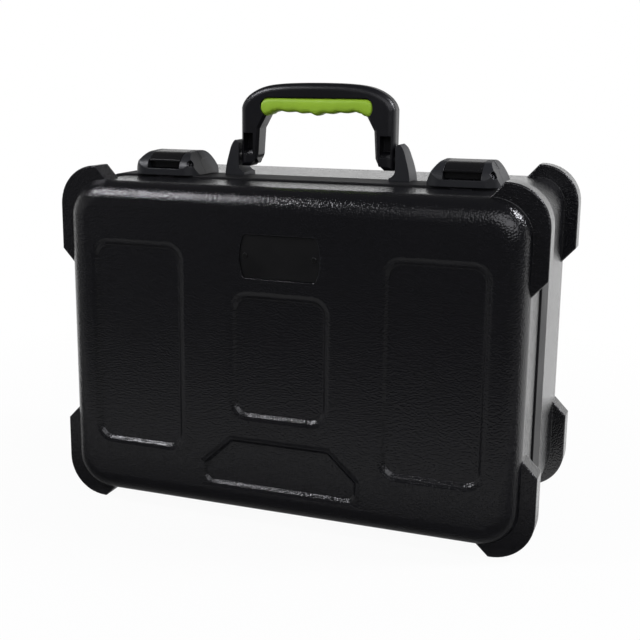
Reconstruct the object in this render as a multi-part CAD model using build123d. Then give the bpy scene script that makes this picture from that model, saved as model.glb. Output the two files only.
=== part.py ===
from build123d import *
import os

# Hard carrying case with a hinged lid, two latches, a folding handle and a padded inside.
# It stands on the corner guards of its hinge side: +Z is up and the lid faces -Y.
# The origin is on the floor, in the middle of the case. All sizes are in mm.
# Distances called "depth" are counted back from the lid's front face.

# --- shells ---------------------------------------------------------------
case_depth = 231.0
guard_half_width = 223.8
shell_half_width = guard_half_width - 12.9
shell_bottom = 10.6
shell_top = 306.9
wall = 3.5
lid_depth = 63.8
lid_corner = 34.0
lid_front_round = 20.4
base_corner = 26.0
base_rear_round = 20.3
mouth_gap = 2.2
flat_gap = 0.4
turn_gap = 0.3
rivet_gap = 0.05

# --- rims round the two mouths -------------------------------------------
collar_start = lid_depth + mouth_gap
collar_end = collar_start + 39.0
collar_proud = 1.7
collar_wall = 3.2
collar_top = shell_top + collar_proud
collar_bottom = shell_bottom - collar_proud
rim_web = 8.0
rim_edge = 0.6
skirt_wall = 2.5
skirt_end = collar_start + 26.0
lid_rim_wall = 3.0
lid_rim_start = lid_depth - 22.8
tongue_reach = 5.0
groove_outer_gap = 0.6
groove_inner_gap = 1.2
groove_lip = 3.0
groove_end = collar_start + 6.0
seal_wall = 0.8

# --- corner guards --------------------------------------------------------
guard_top = shell_top + 12.4
guard_corner = 36.5
guard_leg_foot = shell_half_width - 36.3
guard_leg_tip = shell_half_width - 25.1
guard_edge_round = 1.4
upper_guard_foot = shell_top - 79.8
upper_guard_tip = shell_top - 65.7
lower_guard_foot = shell_bottom + 78.1
lower_guard_tip = shell_bottom + 64.7
lid_guard_start = 16.0
lid_guard_end = 38.0
base_guard_end = case_depth - 11.0
base_guard_start = base_guard_end - 21.5

# --- recessed panels and the name plate -----------------------------------
panel_sink = 2.5
panel_bevel = 50
side_panel_outer = shell_half_width - 30.9
side_panel_inner = side_panel_outer - 86.1
side_panel_bottom = shell_bottom + 55.0
side_panel_top = shell_top - 54.0
centre_panel_half = 43.3
centre_panel_bottom = shell_bottom + 93.0
centre_panel_top = shell_top - 93.1
panel_corner = 14.0
foot_panel_bottom = shell_bottom + 26.1
foot_panel_shoulder = foot_panel_bottom + 19.3
foot_panel_top = foot_panel_bottom + 44.2
foot_panel_half_bottom = 72.5
foot_panel_half_top = 46.0
plate_half_width = 32.9
plate_bulge = 4.0
plate_top = shell_top - 39.7
plate_bottom = plate_top - 38.4
plate_corner = 3.4
plate_sink = 2.0
plate_thickness = 1.0
plate_edge_gap = 0.3
plate_rivet_x = plate_half_width - 1.3
plate_rivet_z = plate_top - 18.6
plate_rivet_radius = 1.6

# --- hinges ---------------------------------------------------------------
hinge_depth = lid_depth + 1.2
hinge_height = collar_bottom - 3.9
hinge_centre_x = shell_half_width - 98.9
knuckle_radius = 3.2
hinge_pin_radius = 1.5
hinge_pin_gap = 0.05
leaf_thickness = 1.5
knuckle_length = 13.0
knuckle_gap = 0.4
knuckle_count = 5
lid_leaf_start = hinge_depth - 21.0
base_leaf_end = hinge_depth + 23.0
hinge_rivet_radius = 2.0
hinge_rivet_head = 3.6
lid_hinge_rivet_depth = hinge_depth - 13.0
base_hinge_rivet_depth = hinge_depth + 15.0
hinge_rivet_x = 20.0

# --- latches --------------------------------------------------------------
latch_front = lid_depth - 1.8
latch_rear = collar_end + 15.0
latch_top = collar_top + 20.9
latch_foot_half = 33.0
latch_top_half = 21.2
latch_front_corner = 14.0
latch_rear_corner = 6.0
latch_seam_depth = latch_front + 24.0
latch_seam = 0.5
window_half = 16.5
window_bottom = collar_top + 5.9
lever_gap = 0.4
lever_pivot_depth = latch_front + 32.0
lever_pivot_height = collar_top + 11.4
lever_hub_radius = 4.5
lever_swing_radius = 11.0
lever_front = latch_front + 2.6
lever_thickness = 2.6
lever_lip = 1.7
lever_lip_bottom = collar_top + 12.6
latch_pin_radius = 2.0
latch_pin_half = 20.5
keeper_half = 9.0
keeper_gap = 0.6
keeper_thickness = 1.5
keeper_rise = lid_depth + 0.35
keeper_height = shell_top - 1.1
keeper_foot_start = lid_depth - 13.8
keeper_screw_x = 5.0
keeper_screw_depth = keeper_foot_start + 6.0
claw_half = 8.0
claw_depth = latch_front + 9.5
claw_height = keeper_height + keeper_thickness + 0.9
keeper_reach = claw_depth + 7.5
lock_radius = 3.3
lock_gap = 0.08
lock_length = 5.5
lock_sink = 2.0
lock_x = 26.6
lock_depth = latch_front + 4.4
lock_height = collar_top + 10.8
lock_axis = Vector(0.72, -0.48, 0.42).normalized()
spring_wire = 0.5
spring_radius = 3.3
spring_turns = 4
spring_length = 5.6
screw_radius = 1.9
screw_head = 4.0
screw_head_height = 2.4
latch_screw_x = 22.5
latch_screw_depth = latch_front + 37.0

# --- handle ---------------------------------------------------------------
pivot_depth = collar_start + 33.5
pivot_height = collar_top + 18.4
pivot_radius = 3.0
pivot_gap = 0.05
pivot_boss_radius = 7.0
handle_thickness = 21.0
handle_front = pivot_depth - handle_thickness / 2
handle_rear = pivot_depth + handle_thickness / 2
handle_half = 74.1
handle_inner_half = handle_half - 19.1
handle_reach = 67.0
handle_apex = pivot_height + handle_reach
arch_rise = 23.0
opening_top = handle_apex - 30.0
opening_slant = 11.6
handle_bottom = pivot_height - 9.5
handle_edge = 2.6
handle_round = 6.5
opening_corner = handle_inner_half - 6.4
leg_window_inner = handle_inner_half + 6.0
leg_window_outer = handle_half - 3.3
leg_window_bottom = pivot_height + 2.0
leg_window_top = opening_top - 16.0
leg_window_sink = 13.0
grip_half = handle_inner_half - 1.3
grip_top = handle_apex - 13.0
grip_wall = 3.0
core_bottom = handle_apex - 22.0
bracket_inner = handle_half + 1.4
bracket_foot_inner = bracket_inner - 5.6
bracket_foot_outer = bracket_inner + 13.6
bracket_top = pivot_height + 14.3
bracket_rear = handle_rear + 6.0
bracket_screw_x = bracket_inner + 4.7
handle_pin_inner_end = handle_inner_half + 6.0
handle_pin_outer_end = bracket_inner + 6.2

# Each latch sits at this share of the way from a handle bracket to a guard.
latch_share = 0.607
latch_centre_x = bracket_foot_outer + latch_share * (guard_leg_foot - bracket_foot_outer)

# --- padding --------------------------------------------------------------
pad_gap = 0.5
slot_width = 56.0
slot_height = 60.0
slot_columns = 5
slot_rows = 3
slot_front = collar_start + 18.0
floor_pad = 19.5
slot_end = case_depth - wall - panel_sink - pad_gap - floor_pad
pad_round = 18.0
lid_pad_start = wall + panel_sink + pad_gap
lid_pad_end = lid_pad_start + 26.5


def y_at(depth):
    """Y coordinate of a plane at this depth behind the lid's front face."""
    return depth - case_depth / 2


def along_y(sketch, start, end):
    """Solid of an X-Z sketch between two depths."""
    plane = Plane(origin=(0, y_at(start), 0), x_dir=(1, 0, 0), z_dir=(0, -1, 0))
    return extrude(plane * sketch, amount=start - end)


def along_x(points, start, end):
    """Solid of a closed (depth, height) outline between two X positions."""
    outline = Polyline(*[(y_at(depth), height) for depth, height in points], close=True)
    plane = Plane(origin=(start, 0, 0), x_dir=(0, 1, 0), z_dir=(1, 0, 0))
    return extrude(plane * make_face(outline), amount=end - start)


def rod_x(radius, depth, height, start, end):
    """Round bar along X."""
    plane = Plane(origin=(start, y_at(depth), height), x_dir=(0, 1, 0), z_dir=(1, 0, 0))
    return extrude(plane * Circle(radius), amount=end - start)


def rod_z(radius, x, depth, start, end):
    """Round bar along Z."""
    return extrude(Pos(x, y_at(depth), start) * Circle(radius), amount=end - start)


def rod_y(radius, x, height, start, end):
    """Round bar along Y, between two depths."""
    return along_y(Pos(x, height) * Circle(radius), start, end)


def block(x_low, x_high, start, end, low, high):
    """Rectangular block between two X positions, two depths and two heights."""
    middle = Pos((x_low + x_high) / 2, y_at((start + end) / 2), (low + high) / 2)
    return middle * Box(x_high - x_low, end - start, high - low)


def case_outline(inset, corner):
    """Rounded case outline, moved in from the shell's outer face by the inset."""
    height = shell_top - shell_bottom - 2 * inset
    sketch = RectangleRounded(2 * (shell_half_width - inset), height, corner)
    return Pos(0, (shell_top + shell_bottom) / 2) * sketch


def ring(outer_inset, outer_corner, inner_inset, inner_corner, start, end):
    """Frame that follows the case outline."""
    sketch = case_outline(outer_inset, outer_corner) - case_outline(inner_inset, inner_corner)
    return along_y(sketch, start, end)


def edges_at(solid, depth):
    """Edges that lie in the plane at this depth."""
    return solid.edges().filter_by_position(Axis.Y, y_at(depth) - 0.01, y_at(depth) + 0.01)


def mirrored(solid):
    """Copy on the other side of the case's middle plane."""
    return mirror(solid, about=Plane.YZ)


# --- shells ---------------------------------------------------------------
def guard(foot, tip, face, edge, start, end):
    """Right-hand corner guard: two legs with slanted ends that wrap one corner."""
    reach = 1.4
    leg_tip = (
        guard_leg_foot + reach * (guard_leg_tip - guard_leg_foot),
        face + reach * (edge - face),
    )
    side_tip = (
        shell_half_width + reach * (guard_half_width - shell_half_width),
        foot + reach * (tip - foot),
    )
    beyond = guard_half_width + guard_corner
    region = Polyline(
        (guard_leg_foot, face),
        leg_tip,
        (beyond, leg_tip[1]),
        (beyond, side_tip[1]),
        side_tip,
        (shell_half_width, foot),
        (guard_leg_foot, foot),
        close=True,
    )
    around = Pos(0, guard_top / 2) * RectangleRounded(2 * guard_half_width, guard_top, guard_corner)
    solid = along_y(make_face(region) & around, start, end)

    def outside(line):
        middle = line.center()
        if middle.X > shell_half_width + 1:
            return True
        return middle.Z > shell_top + 1 or middle.Z < shell_bottom - 1

    rims = edges_at(solid, start) + edges_at(solid, end)
    return fillet(rims.filter_by(outside), guard_edge_round)


def guards(start, end):
    """The four corner guards of one shell."""
    upper = guard(upper_guard_foot, upper_guard_tip, shell_top, guard_top, start, end)
    lower = guard(lower_guard_foot, lower_guard_tip, shell_bottom, 0, start, end)
    return [upper, lower, mirrored(upper), mirrored(lower)]


def side_panel_sketches():
    middle = ((side_panel_inner + side_panel_outer) / 2, (side_panel_bottom + side_panel_top) / 2)
    width = side_panel_outer - side_panel_inner
    height = side_panel_top - side_panel_bottom
    right = Pos(*middle) * RectangleRounded(width, height, panel_corner)
    left = Pos(-middle[0], middle[1]) * RectangleRounded(width, height, panel_corner)
    return [left, right]


def centre_panel_sketch():
    height = centre_panel_top - centre_panel_bottom
    middle = (centre_panel_top + centre_panel_bottom) / 2
    return Pos(0, middle) * RectangleRounded(2 * centre_panel_half, height, panel_corner)


def foot_panel_sketch():
    outline = Polyline(
        (-foot_panel_half_top, foot_panel_top),
        (-foot_panel_half_bottom, foot_panel_shoulder),
        (-foot_panel_half_bottom, foot_panel_bottom),
        (foot_panel_half_bottom, foot_panel_bottom),
        (foot_panel_half_bottom, foot_panel_shoulder),
        (foot_panel_half_top, foot_panel_top),
        close=True,
    )
    face = make_face(outline)
    low = face.vertices().group_by(Axis.Y)[0]
    face = fillet(low, 9.5)
    return fillet(face.vertices().group_by(Axis.Y)[-1], 6)


def plate_sketch(inset):
    """Name plate outline: a rounded rectangle whose short sides bulge outwards."""
    half = plate_half_width - inset
    top = plate_top - inset
    bottom = plate_bottom + inset
    middle = (top + bottom) / 2
    lines = [
        Line((-half, top), (half, top)),
        ThreePointArc((half, top), (half + plate_bulge, middle), (half, bottom)),
        Line((half, bottom), (-half, bottom)),
        ThreePointArc((-half, bottom), (-half - plate_bulge, middle), (-half, top)),
    ]
    face = make_face(lines)
    return fillet(face.vertices(), plate_corner - inset)


def panel_pocket(sketch, front):
    """Bevelled pocket: it narrows inwards from the shell's face."""
    if front:
        plane = Plane(origin=(0, y_at(0), 0), x_dir=(-1, 0, 0), z_dir=(0, 1, 0))
    else:
        plane = Plane(origin=(0, y_at(case_depth), 0), x_dir=(1, 0, 0), z_dir=(0, -1, 0))
    return extrude(plane * sketch, amount=panel_sink, taper=panel_bevel)


def build_lid_shell():
    body = along_y(case_outline(0, lid_corner), 0, lid_depth)
    body = fillet(edges_at(body, 0), lid_front_round)
    for piece in guards(lid_guard_start, lid_guard_end):
        body += piece
    cavity = along_y(case_outline(wall, lid_corner - wall), wall, lid_depth + 1)
    cavity = fillet(edges_at(cavity, wall), lid_front_round - wall)
    panels = side_panel_sketches() + [centre_panel_sketch(), foot_panel_sketch()]
    for sketch in panels:
        cavity -= along_y(sketch, 0, wall + panel_sink)
    cavity -= along_y(plate_sketch(0), 0, wall + plate_sink)
    body -= cavity
    for sketch in panels:
        body -= panel_pocket(sketch, True)
    body -= along_y(plate_sketch(0), -1, plate_sink)
    for x in (-plate_rivet_x, plate_rivet_x):
        body -= rod_y(plate_rivet_radius + rivet_gap, x, plate_rivet_z, 0, wall + plate_sink + 1)
    for x, depth in lid_hinge_rivet_places():
        body -= rod_z(hinge_rivet_radius + rivet_gap, x, depth, shell_bottom - 1, shell_bottom + wall + 1)
    return body


def build_base_shell():
    body = along_y(case_outline(0, base_corner), collar_end, case_depth)
    body = fillet(edges_at(body, case_depth), base_rear_round)
    for piece in guards(base_guard_start, base_guard_end):
        body += piece
    step = collar_wall - collar_proud
    body += along_y(case_outline(step, base_corner - step), collar_start + rim_web, collar_end)
    cavity = along_y(case_outline(wall, base_corner - wall), collar_start, case_depth - wall)
    cavity = fillet(edges_at(cavity, case_depth - wall), base_rear_round - wall)
    panels = side_panel_sketches() + [centre_panel_sketch()]
    for sketch in panels:
        cavity -= along_y(sketch, case_depth - wall - panel_sink, case_depth)
    body -= cavity
    for sketch in panels:
        body -= panel_pocket(sketch, False)
    return body - fastener_holes()


# --- rims -----------------------------------------------------------------
tongue_outer_inset = wall
tongue_inner_inset = wall + lid_rim_wall
groove_outer_inset = tongue_outer_inset - groove_outer_gap
groove_inner_inset = tongue_inner_inset + groove_inner_gap


def groove(start, end):
    """Ring-shaped space that the lid's tongue enters."""
    return ring(
        groove_outer_inset,
        lid_corner - groove_outer_inset,
        groove_inner_inset,
        lid_corner - groove_inner_inset,
        start,
        end,
    )


def build_lid_rim():
    body = ring(
        tongue_outer_inset,
        lid_corner - tongue_outer_inset,
        tongue_inner_inset,
        lid_corner - tongue_inner_inset,
        lid_rim_start,
        lid_depth + tongue_reach,
    )
    top = shell_top - wall
    seat = top - keeper_thickness - 0.1
    half = keeper_half + 0.2
    for x in (-latch_centre_x, latch_centre_x):
        body -= block(x - half, x + half, keeper_foot_start - 0.2, collar_start + 4, seat, top + 1)
    for x, depth in keeper_screw_places():
        body -= rod_z(screw_radius + rivet_gap, x, depth, shell_top - wall - 6, shell_top)
    for x, depth in lid_hinge_rivet_places():
        body -= rod_z(hinge_rivet_radius + rivet_gap, x, depth, shell_bottom, shell_bottom + 10)
    return body


def build_base_rim():
    inner_inset = groove_inner_inset + groove_lip
    outer_corner = base_corner + collar_proud
    inner_corner = lid_corner - inner_inset
    web_end = collar_start + rim_web
    body = ring(-collar_proud, outer_corner, inner_inset, inner_corner, collar_start, web_end)
    body = chamfer(edges_at(body, collar_start), rim_edge)
    step = collar_wall - collar_proud
    body += ring(-collar_proud, outer_corner, step, base_corner - step, web_end, collar_end)
    skirt_inset = wall + skirt_wall
    body += ring(wall, base_corner - wall, skirt_inset, base_corner - skirt_inset, web_end, skirt_end)
    body -= groove(collar_start - 1, groove_end)
    half = keeper_half + keeper_gap
    channel_end = keeper_reach + keeper_gap
    channel_floor = collar_top - collar_wall
    for x in (-latch_centre_x, latch_centre_x):
        body -= block(x - half, x + half, collar_start - 1, channel_end, channel_floor, collar_top + 1)
    return body - fastener_holes()


def build_rim_seal():
    """Hollow rubber strip that lies on the bottom of the groove."""
    start = lid_depth + tongue_reach + flat_gap
    body = groove(start, groove_end)
    inset = (groove_outer_inset + groove_inner_inset) / 2
    half_bore = (groove_inner_inset - groove_outer_inset) / 2 - seal_wall
    bore = ring(
        inset - half_bore,
        lid_corner - inset + half_bore,
        inset + half_bore,
        lid_corner - inset - half_bore,
        start + seal_wall,
        groove_end - seal_wall,
    )
    return body - bore


# --- fasteners ------------------------------------------------------------
def lid_hinge_rivet_places():
    places = []
    for centre in (-hinge_centre_x, hinge_centre_x):
        for side in (-1, 0, 1):
            places.append((centre + side * hinge_rivet_x, lid_hinge_rivet_depth))
    return places


def base_hinge_rivet_places():
    return [(x, base_hinge_rivet_depth) for x, depth in lid_hinge_rivet_places()]


def latch_screw_places():
    places = []
    for centre in (-latch_centre_x, latch_centre_x):
        for side in (-1, 1):
            places.append((centre + side * latch_screw_x, latch_screw_depth))
    return places


def bracket_screw_places():
    places = []
    for side in (-1, 1):
        for depth in (pivot_depth - 3.0, handle_rear):
            places.append((side * bracket_screw_x, depth))
    return places


def keeper_screw_places():
    places = []
    for centre in (-latch_centre_x, latch_centre_x):
        for side in (-1, 1):
            places.append((centre + side * keeper_screw_x, keeper_screw_depth))
    return places


def fastener_holes():
    """Holes through the base shell and its rim for the screws and rivets of the fittings."""
    holes = []
    for x, depth in latch_screw_places() + bracket_screw_places():
        holes.append(rod_z(screw_radius + rivet_gap, x, depth, shell_top - wall - 6, collar_top + 1))
    for x, depth in base_hinge_rivet_places():
        high = shell_bottom + wall + 6
        holes.append(rod_z(hinge_rivet_radius + rivet_gap, x, depth, collar_bottom - 1, high))
    return holes


def screw_up(x, depth, seat, end):
    """Pan-head screw put in from below: head under the seat height, shank up to the end height."""
    head = rod_z(screw_head, x, depth, seat - screw_head_height, seat)
    head = chamfer(head.edges().group_by(Axis.Z)[0], 0.8)
    drive = block(x - 2.4, x + 2.4, depth - 0.5, depth + 0.5, seat - screw_head_height, seat - 1.2)
    cross = block(x - 0.5, x + 0.5, depth - 2.4, depth + 2.4, seat - screw_head_height, seat - 1.2)
    return head + rod_z(screw_radius, x, depth, seat, end) - drive - cross


def rivet_up(x, depth, low_face, high_face):
    """Rivet with a domed head below the low face and a flat head above the high face."""
    dome = rod_z(hinge_rivet_head, x, depth, low_face - 1.1, low_face)
    dome = fillet(dome.edges().group_by(Axis.Z)[0], 0.9)
    shank = rod_z(hinge_rivet_radius, x, depth, low_face, high_face)
    return dome + shank + rod_z(hinge_rivet_head, x, depth, high_face, high_face + 0.9)


# --- name plate -----------------------------------------------------------
def build_name_plate():
    plate = along_y(plate_sketch(plate_edge_gap), plate_sink - plate_thickness, plate_sink)
    plate = fillet(edges_at(plate, plate_sink - plate_thickness), 0.4)
    for x in (-plate_rivet_x, plate_rivet_x):
        plate -= rod_y(plate_rivet_radius + rivet_gap, x, plate_rivet_z, -1, plate_sink + 1)
    return plate


def build_name_plate_rivets():
    face = plate_sink - plate_thickness
    rivets = []
    for x in (-plate_rivet_x, plate_rivet_x):
        head = rod_y(2.6, x, plate_rivet_z, face - 0.9, face)
        head = fillet(edges_at(head, face - 0.9), 0.7)
        end = plate_sink + wall
        shank = rod_y(plate_rivet_radius, x, plate_rivet_z, face, end)
        rivets.append(head + shank + rod_y(2.8, x, plate_rivet_z, end, end + 0.8))
    return Compound(children=rivets)


# --- hinges ---------------------------------------------------------------
def knuckle_spans(centre, first):
    """X ranges of every second knuckle of one hinge, starting with knuckle number first."""
    spans = []
    for number in range(first, knuckle_count, 2):
        low = centre + (number - knuckle_count / 2) * knuckle_length
        spans.append((low + knuckle_gap / 2, low + knuckle_length - knuckle_gap / 2))
    return spans


def build_leaf(centre, lid_side):
    """Hinge leaf: a riveted plate, cranked down to its knuckles."""
    half = knuckle_count * knuckle_length / 2 - knuckle_gap / 2
    if lid_side:
        direction, face, plate_end, first = -1, shell_bottom, lid_leaf_start, 1
    else:
        direction, face, plate_end, first = 1, collar_bottom, base_leaf_end, 0
    clear = hinge_depth + direction * (knuckle_radius + flat_gap)
    near, far = sorted((clear, plate_end))
    leaf = block(centre - half, centre + half, near, far, face - leaf_thickness, face)
    for low, high in knuckle_spans(centre, first):
        wall_outer = hinge_depth + direction * knuckle_radius
        wall_inner = wall_outer - direction * leaf_thickness
        near, far = sorted((wall_outer, wall_inner))
        leaf += block(low, high, near, far, hinge_height, face)
        near, far = sorted((wall_inner, clear))
        leaf += block(low, high, near, far, face - leaf_thickness, face)
        leaf += rod_x(knuckle_radius, hinge_depth, hinge_height, low, high)
    leaf -= rod_x(
        hinge_pin_radius + hinge_pin_gap, hinge_depth, hinge_height, centre - half - 1, centre + half + 1
    )
    places = lid_hinge_rivet_places() if lid_side else base_hinge_rivet_places()
    for x, depth in places:
        if abs(x - centre) < half:
            leaf -= rod_z(hinge_rivet_radius + rivet_gap, x, depth, face - leaf_thickness - 1, face + 1)
    return leaf


def build_hinge_pin(centre):
    half = knuckle_count * knuckle_length / 2
    pin = rod_x(hinge_pin_radius, hinge_depth, hinge_height, centre - half, centre + half)
    for low in (centre - half - 1.0, centre + half):
        pin += rod_x(hinge_pin_radius + 0.9, hinge_depth, hinge_height, low, low + 1.0)
    return pin


def build_lid_hinge_rivets():
    top = shell_bottom + wall + lid_rim_wall
    low = shell_bottom - leaf_thickness
    return Compound(children=[rivet_up(x, depth, low, top) for x, depth in lid_hinge_rivet_places()])


def build_base_hinge_rivets():
    top = shell_bottom + wall + skirt_wall
    low = collar_bottom - leaf_thickness
    return Compound(children=[rivet_up(x, depth, low, top) for x, depth in base_hinge_rivet_places()])


# --- latches --------------------------------------------------------------
def latch_form():
    """Outer form of a latch at X = 0: where its side, front and top outlines meet."""
    rise = [(0, 14.8), (0.9, 12.0), (2.6, 9.1), (5.2, 6.4), (8.8, 3.7), (13.2, 1.5), (18.5, 0.3), (24.0, 0)]
    fall = [(14.5, 0), (9.8, 1.4), (6.0, 4.6), (3.1, 9.2), (1.2, 14.8), (0, latch_top - collar_top)]
    curve = [(y_at(latch_front + behind), latch_top - drop) for behind, drop in rise]
    curve += [(y_at(latch_rear - before), latch_top - drop) for before, drop in fall]
    foot = Polyline(curve[-1], (y_at(latch_front), collar_top), curve[0])
    side_plane = Plane(origin=(-latch_foot_half - 5, 0, 0), x_dir=(0, 1, 0), z_dir=(1, 0, 0))
    side = extrude(side_plane * make_face([foot, Spline(*curve)]), amount=2 * latch_foot_half + 10)

    high = latch_top + 0.4
    lean = (high - collar_top) / 22
    flank = [(0, 0), (1.5, 3.6), (3.9, 9.0), (6.5, 14.2), (9.2, 18.6)]
    flank.append((latch_foot_half - latch_top_half, 22))
    right = [(latch_foot_half - inward, collar_top + up * lean) for inward, up in flank]
    left = [(-x, height) for x, height in reversed(right)]
    front = make_face([Spline(*right), Line(right[-1], left[0]), Spline(*left), Line(left[-1], right[0])])

    length = latch_rear - latch_front
    plan = Pos(0, y_at((latch_front + latch_rear) / 2)) * Rectangle(2 * latch_foot_half, length)
    plan = fillet(plan.vertices().group_by(Axis.Y)[0], latch_front_corner)
    plan = fillet(plan.vertices().group_by(Axis.Y)[-1], latch_rear_corner)
    prism = extrude(Pos(0, 0, collar_top) * plan, amount=latch_top - collar_top + 1)
    return side & along_y(front, latch_front - 1, latch_rear + 1) & prism


def lock_bore(radius, start, end):
    """Cylinder on the lock's axis, between two distances inwards from the corner's face."""
    origin = Vector(lock_x, y_at(lock_depth), lock_height) - lock_axis * end
    plane = Plane(origin=origin, z_dir=lock_axis)
    return extrude(plane * Circle(radius), amount=end - start)


def build_latch_housing(form):
    half = window_half
    swing = rod_x(lever_swing_radius, lever_pivot_depth, lever_pivot_height, -half, half)
    throat = block(-half, half, latch_front + 4, lever_pivot_depth, collar_top - 1, latch_top + 9)
    mouth = block(-half, half, latch_front - 1, latch_front + 5, window_bottom, latch_top + 9)
    swing_end = lever_pivot_depth + lever_swing_radius
    over = block(-half, half, latch_front + 18, swing_end, lever_pivot_height, latch_top + 9)
    body = form - swing - throat - mouth - over
    skin = form - Pos(0, 0, -latch_seam) * form
    seam_end = latch_seam_depth + latch_seam
    body -= skin & block(-40, 40, latch_seam_depth, seam_end, collar_top + 1, latch_top + 1)
    label_front = latch_seam_depth + 5
    label_end = latch_top_half + 5.3
    for low, high in ((-label_end, -latch_top_half), (latch_top_half, label_end)):
        label = block(low, high, label_front, label_front + 12, latch_top - 8, latch_top)
        body += Pos(0, 0, latch_seam) * form & label
    body -= rod_x(latch_pin_radius, lever_pivot_depth, lever_pivot_height, -latch_pin_half, latch_pin_half)
    body -= lock_bore(lock_radius + lock_gap, -8, lock_sink + lock_length + 0.2)
    step_pad = block(-latch_foot_half, latch_foot_half, collar_end, latch_rear, shell_top, collar_top)
    body += fillet(step_pad.edges().filter_by(Axis.Z).group_by(Axis.Y)[-1], latch_rear_corner)
    for side in (-1, 1):
        x = side * latch_screw_x
        body -= rod_z(screw_radius + rivet_gap, x, latch_screw_depth, collar_top - 3, collar_top + 8)
    return body


def build_latch_lever(form):
    """Lever: curved cover with a lip, a recess wall for the fingertips and a claw below."""
    half = window_half - lever_gap
    cover = form & block(-half, half, lever_front, lever_pivot_depth + 3.5, lever_lip_bottom, latch_top + 9)
    cover -= Pos(0, 1.2, -lever_thickness) * form
    lip_end = lever_front + 4.5
    lip = block(-half, half, lever_front, lip_end, lever_lip_bottom, lever_lip_bottom + lever_lip)
    hub = rod_x(lever_hub_radius, lever_pivot_depth, lever_pivot_height, -claw_half - 1, half)
    recess = [
        (claw_depth - 0.9, window_bottom + 0.4),
        (claw_depth - 0.9, lever_lip_bottom + 2.4),
        (claw_depth + 1.6, latch_top - 3.4),
        (claw_depth + 3.4, latch_top - 3.4),
        (claw_depth + 1.1, lever_lip_bottom + 1.6),
        (claw_depth + 1.1, window_bottom + 0.4),
    ]
    rib = [
        (lever_pivot_depth + 2.0, lever_pivot_height + 2.0),
        (lever_pivot_depth + 2.0, latch_top - 1.5),
        (claw_depth + 6.5, latch_top - 2.2),
        (claw_depth + 0.1, lever_lip_bottom + 2.4),
        (claw_depth, lever_lip_bottom),
        (claw_depth, claw_height),
        (claw_depth + 3.0, claw_height),
        (claw_depth + 4.4, claw_height + 4.5),
        (lever_pivot_depth - 1.0, lever_pivot_height - 4.0),
    ]
    body = cover + lip + hub + along_x(recess, -half, half) + along_x(rib, -claw_half, claw_half)
    return body - rod_x(latch_pin_radius + 0.05, lever_pivot_depth, lever_pivot_height, -20, 20)


def build_latch_pin():
    return rod_x(latch_pin_radius, lever_pivot_depth, lever_pivot_height, -latch_pin_half, latch_pin_half)


def build_latch_spring():
    """Coil that pushes the lever shut, wound round the pin beside the lever's hub."""
    path = Helix(spring_length / spring_turns, spring_length, spring_radius)
    coil = sweep(Plane(origin=path @ 0, z_dir=path % 0) * Circle(spring_wire), path=path, is_frenet=True)
    turned = Rot(0, 90, 0) * coil
    return Pos(-window_half + 0.8, y_at(lever_pivot_depth), lever_pivot_height) * turned


def build_lock():
    """Lock cylinder with a key slot, sunk in the latch's corner."""
    body = lock_bore(lock_radius, lock_sink, lock_sink + lock_length)
    origin = Vector(lock_x, y_at(lock_depth), lock_height) - lock_axis * (lock_sink + 3.5)
    plane = Plane(origin=origin, x_dir=Vector(0, 0.66, 0.75).cross(lock_axis), z_dir=lock_axis)
    return body - extrude(plane * Rectangle(1.2, 4.6), amount=6)


def build_keeper():
    """Steel catch: foot under the lid's edge, riser in the mouth gap, slotted tongue above the rim."""
    top = shell_top - wall
    half = keeper_half
    riser_end = keeper_rise + keeper_thickness
    tongue_top = keeper_height + keeper_thickness
    body = block(-half, half, keeper_foot_start, riser_end, top - keeper_thickness, top)
    body += block(-half, half, keeper_rise, riser_end, top - keeper_thickness, tongue_top)
    body += block(-half, half, keeper_rise, keeper_reach, keeper_height, tongue_top)
    slot = claw_half + 0.4
    body -= block(-slot, slot, claw_depth - 2.0, claw_depth + 4.5, keeper_height - 1, tongue_top + 1)
    for side in (-1, 1):
        x = side * keeper_screw_x
        body -= rod_z(screw_radius + rivet_gap, x, keeper_screw_depth, top - 5, top + 1)
    return body


def build_keeper_screws():
    seat = shell_top - wall - lid_rim_wall
    end = shell_top - wall
    return Compound(children=[screw_up(x, depth, seat, end) for x, depth in keeper_screw_places()])


# --- handle ---------------------------------------------------------------
def grip_sketch():
    """Front outline of the grip: flat top, round ends and a waved underside for the fingers."""
    end = grip_half - 4.8
    wave = [(1, 17.4), (0.93, 16.0), (0.84, 13.8), (0.74, 12.6), (0.57, 13.8)]
    wave += [(0.43, 13.3), (0.29, 14.7), (0.145, 14.2), (0, 16.5)]
    half_wave = [(share * end, grip_top - drop) for share, drop in wave]
    low = half_wave + [(-x, height) for x, height in reversed(half_wave[:-1])]
    shoulder = grip_half - 6.5
    tip = (grip_half, grip_top - 8.2)
    over = (grip_half - 1.9, grip_top - 2.6)
    under = (grip_half - 1.2, grip_top - 13.6)
    return make_face([
        Line((-shoulder, grip_top), (shoulder, grip_top)),
        ThreePointArc((shoulder, grip_top), over, tip),
        ThreePointArc(tip, under, half_wave[0]),
        Spline(*low),
        ThreePointArc((-end, half_wave[0][1]), (-under[0], under[1]), (-tip[0], tip[1])),
        ThreePointArc((-tip[0], tip[1]), (-over[0], over[1]), (-shoulder, grip_top)),
    ])


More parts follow.
